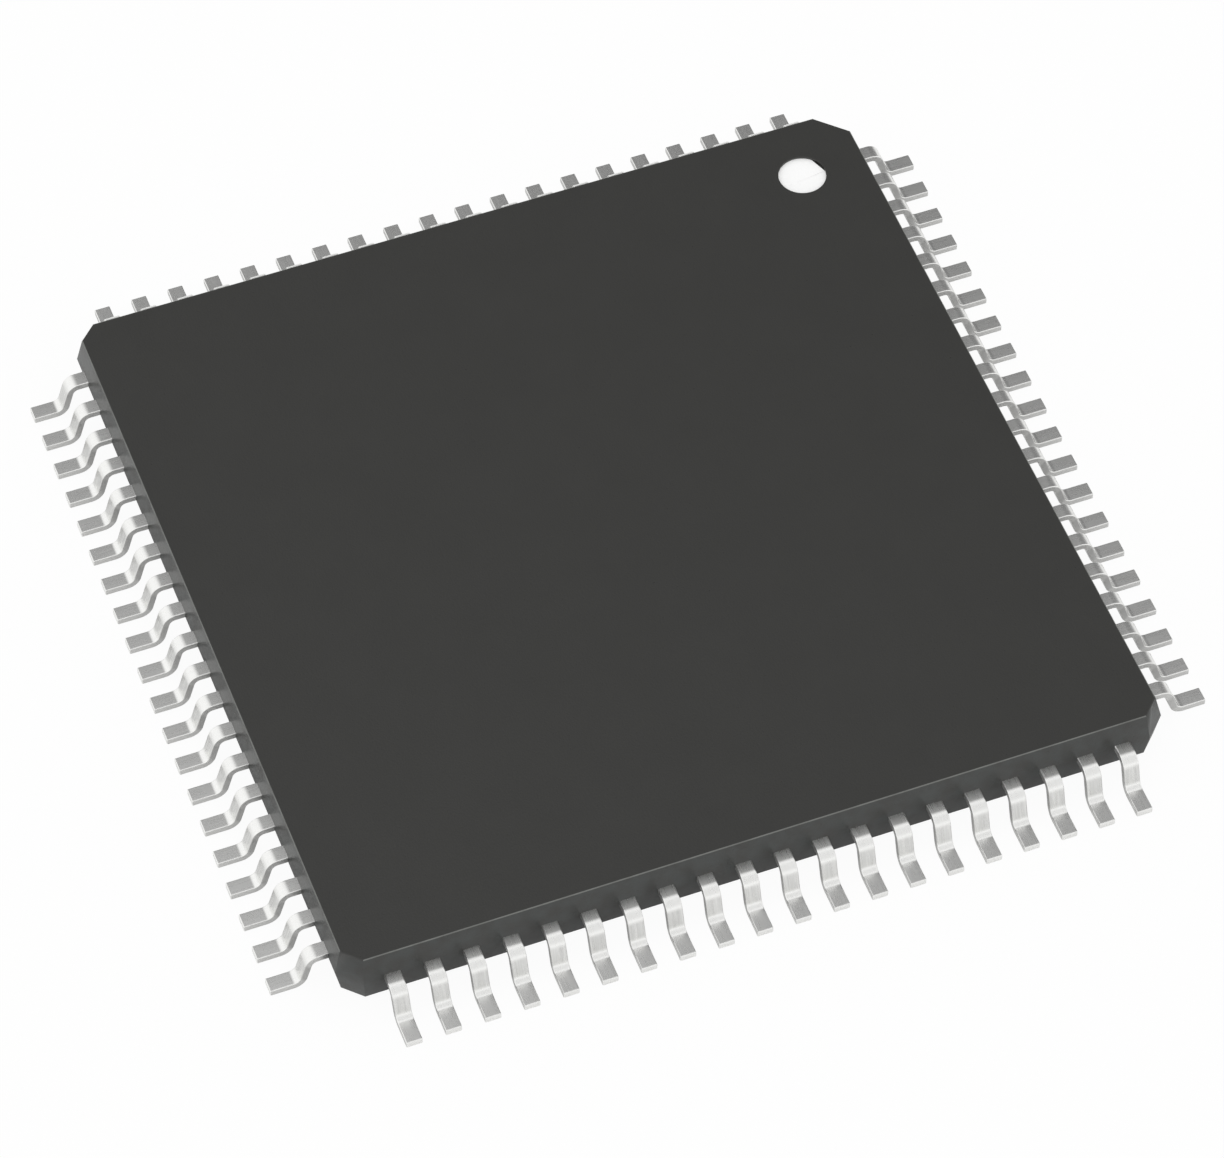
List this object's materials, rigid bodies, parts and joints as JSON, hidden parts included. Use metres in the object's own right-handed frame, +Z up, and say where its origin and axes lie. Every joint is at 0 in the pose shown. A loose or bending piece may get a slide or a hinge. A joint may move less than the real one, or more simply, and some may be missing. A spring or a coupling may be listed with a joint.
{
  "type": "quad flat pack chip",
  "caption": "Thin square moulded chip package with gull-wing leads along every side, and a round white mark at its first pin.",
  "frame": {"origin": "middle of the seating plane, under the middle of the body", "axes": "+Z up, out of the marked face; pin 1 is at the -X +Y corner and the pins count anticlockwise seen from above: down the -X side, along the -Y side, up the +X side, back along the +Y side"},
  "size_m": [0.016, 0.016, 0.0011],
  "materials": {
    "mould_compound": "fine matte moulded epoxy, dark neutral grey",
    "mark_ink": "matte white ink",
    "plated_lead": "satin tin plate over copper alloy, fine streaks along the lead",
    "pad_copper": "rolled copper alloy strip",
    "bond_layer": "silver-filled epoxy",
    "silicon": "polished silicon",
    "tape_film": "amber film",
    "gold_wire": "bright drawn gold wire"
  },
  "bodies": {
    "root": {"mould_body": "mould_compound", "pin_one_dot": "mark_ink", "die_pad": "pad_copper", "die_attach": "bond_layer", "die": "silicon", "lead_lock_tape": "tape_film", "leads_01_02": "plated_lead", "leads_03_04": "plated_lead", "leads_05_06": "plated_lead", "leads_07_08": "plated_lead", "leads_09_10": "plated_lead", "leads_11_12": "plated_lead", "leads_13_14": "plated_lead", "leads_15_16": "plated_lead", "leads_17_18": "plated_lead", "leads_19_20": "plated_lead", "leads_21_22": "plated_lead", "leads_23_24": "plated_lead", "leads_25_26": "plated_lead", "leads_27_28": "plated_lead", "leads_29_30": "plated_lead", "leads_31_32": "plated_lead", "leads_33_34": "plated_lead", "leads_35_36": "plated_lead", "leads_37_38": "plated_lead", "leads_39_40": "plated_lead", "leads_41_42": "plated_lead", "leads_43_44": "plated_lead", "leads_45_46": "plated_lead", "leads_47_48": "plated_lead", "leads_49_50": "plated_lead", "leads_51_52": "plated_lead", "leads_53_54": "plated_lead", "leads_55_56": "plated_lead", "leads_57_58": "plated_lead", "leads_59_60": "plated_lead", "leads_61_62": "plated_lead", "leads_63_64": "plated_lead", "leads_65_66": "plated_lead", "leads_67_68": "plated_lead", "leads_69_70": "plated_lead", "leads_71_72": "plated_lead", "leads_73_74": "plated_lead", "leads_75_76": "plated_lead", "leads_77_78": "plated_lead", "leads_79_80": "plated_lead", "wires_01_10": "gold_wire", "wires_11_20": "gold_wire", "wires_21_30": "gold_wire", "wires_31_40": "gold_wire", "wires_41_50": "gold_wire", "wires_51_60": "gold_wire", "wires_61_70": "gold_wire", "wires_71_80": "gold_wire"}
  },
  "joints": []
}
